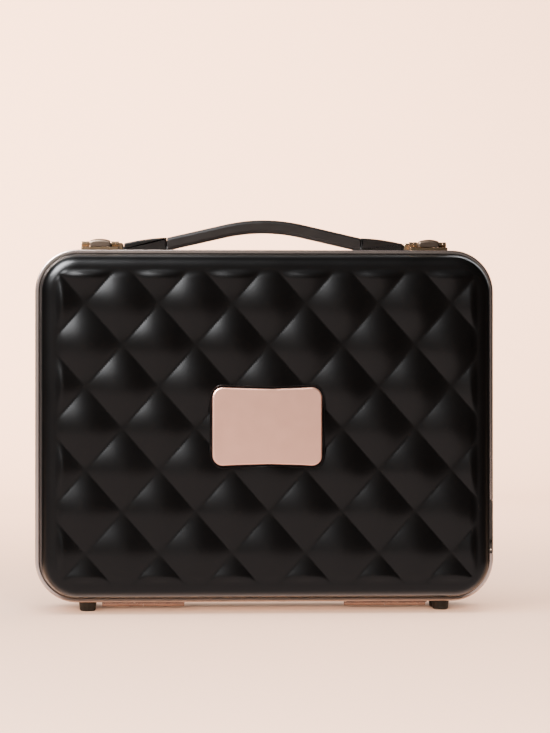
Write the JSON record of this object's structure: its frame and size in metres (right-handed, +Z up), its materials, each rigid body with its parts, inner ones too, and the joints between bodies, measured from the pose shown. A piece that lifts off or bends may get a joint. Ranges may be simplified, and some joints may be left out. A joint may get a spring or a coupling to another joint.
{
  "type": "makeup case",
  "caption": "Upright hard makeup case with quilted shells in metal frames, a pull-up handle, draw latches, a lit mirror lid and a divided tray.",
  "frame": {"origin": "on the ground under the middle of the case, at the centre of its bounding box's bottom face", "axes": "+X to the case's right as seen from the front, along its width, +Y to the back through its depth, +Z up from the feet to the handle"},
  "size_m": [0.36, 0.112, 0.3076],
  "materials": {
    "shell": "glossy black moulded shell, quilted",
    "frame": "champagne anodised, polished",
    "plate": "rose gold, satin with bright edges",
    "latch": "polished pale gold",
    "hinge": "polished copper tone",
    "steel": "satin",
    "rubber": "matt",
    "grip": "fine grained, semi gloss",
    "lining": "dark suede-like lining on a formed tray",
    "divider": "soft-touch, dusty rose",
    "mirror": "silvered",
    "diffuser": "opal",
    "board": "solder-masked circuit board",
    "strip": "white circuit board",
    "battery": "shrink-wrapped",
    "panel": "fine textured",
    "pipe": "clear light pipe"
  },
  "bodies": {
    "base": {"base_shell": "shell", "base_frame": "frame", "frame_seal": "rubber", "base_liner": "lining", "tray_dividers": "divider", "handle_bracket_left": "latch", "handle_bracket_right": "latch", "keeper_left": "latch", "keeper_right": "latch", "hinge_leaf_base_left": "hinge", "hinge_leaf_base_right": "hinge", "hinge_pin_left": "steel", "hinge_pin_right": "steel", "base_rivets": "latch", "foot_rear_left": "rubber", "foot_rear_right": "rubber"},
    "lid": {"lid_shell": "shell", "lid_frame": "frame", "name_plate": "plate", "lid_liner": "lining", "mirror_glass": "mirror", "light_diffuser": "diffuser", "light_board": "strip", "touch_switch": "plate", "battery_pack": "battery", "control_board": "board", "port_panel": "panel", "charge_socket": "steel", "status_light": "pipe", "hinge_leaf_lid_left": "hinge", "hinge_leaf_lid_right": "hinge", "foot_front_left": "rubber", "foot_front_right": "rubber", "latch_plate_left": "latch", "latch_plate_right": "latch", "latch_pins_left": "steel", "latch_pins_right": "steel", "lid_rivets": "latch"},
    "latch_lever_left": {"latch_lever_left": "latch", "hook_pin_left": "steel"},
    "latch_hook_left": {"latch_hook_left": "latch"},
    "latch_lever_right": {"latch_lever_right": "latch", "hook_pin_right": "steel"},
    "latch_hook_right": {"latch_hook_right": "latch"},
    "handle": {"handle_grip": "grip", "handle_core": "steel", "handle_pin_left": "steel", "handle_pin_right": "steel"},
    "handle_end_left": {"handle_end_left": "grip", "handle_tongue_left": "steel"},
    "handle_end_right": {"handle_end_right": "grip", "handle_tongue_right": "steel"},
    "power_button": {"power_button": "panel"}
  },
  "joints": [
    {"name": "lid_hinge", "type": "hinge", "parent": "base", "child": "lid", "pos_m": [0, -0.006, 0.00475], "axis": [1, 0, 0], "range_deg": [0, 105]},
    {"name": "latch_lever_left", "type": "hinge", "parent": "lid", "child": "latch_lever_left", "pos_m": [-0.1293, -0.009, 0.28795], "axis": [-1, 0, 0], "range_deg": [0, 100]},
    {"name": "latch_hook_left", "type": "hinge", "parent": "latch_lever_left", "child": "latch_hook_left", "pos_m": [-0.1293, -0.0135, 0.2876], "axis": [-1, 0, 0], "range_deg": [-101, 0]},
    {"name": "latch_lever_right", "type": "hinge", "parent": "lid", "child": "latch_lever_right", "pos_m": [0.1293, -0.009, 0.28795], "axis": [-1, 0, 0], "range_deg": [0, 100]},
    {"name": "latch_hook_right", "type": "hinge", "parent": "latch_lever_right", "child": "latch_hook_right", "pos_m": [0.1293, -0.0135, 0.2876], "axis": [-1, 0, 0], "range_deg": [-101, 0]},
    {"name": "handle_lift", "type": "slide", "parent": "base", "child": "handle", "axis": [0, 0, 1], "range_m": [0, 0.008]},
    {"name": "handle_end_left", "type": "hinge", "parent": "handle", "child": "handle_end_left", "pos_m": [-0.0765, 0.005, 0.2856], "axis": [0, -1, 0], "range_deg": [0, 11]},
    {"name": "handle_end_right", "type": "hinge", "parent": "handle", "child": "handle_end_right", "pos_m": [0.0765, 0.005, 0.2856], "axis": [0, 1, 0], "range_deg": [0, 11]},
    {"name": "power_button", "type": "slide", "parent": "lid", "child": "power_button", "axis": [0, 1, 0], "range_m": [0, 0.0006], "stiffness_N_per_m": 300, "springref_m": -0.001}
  ],
  "couplings": [
    {"joint": "latch_hook_left", "follows": "latch_lever_left", "ratio": -1},
    {"joint": "latch_hook_right", "follows": "latch_lever_right", "ratio": -1},
    {"joint": "handle_end_left", "follows": "handle_lift", "rad_per_m": 23.42},
    {"joint": "handle_end_right", "follows": "handle_lift", "rad_per_m": 23.42}
  ]
}
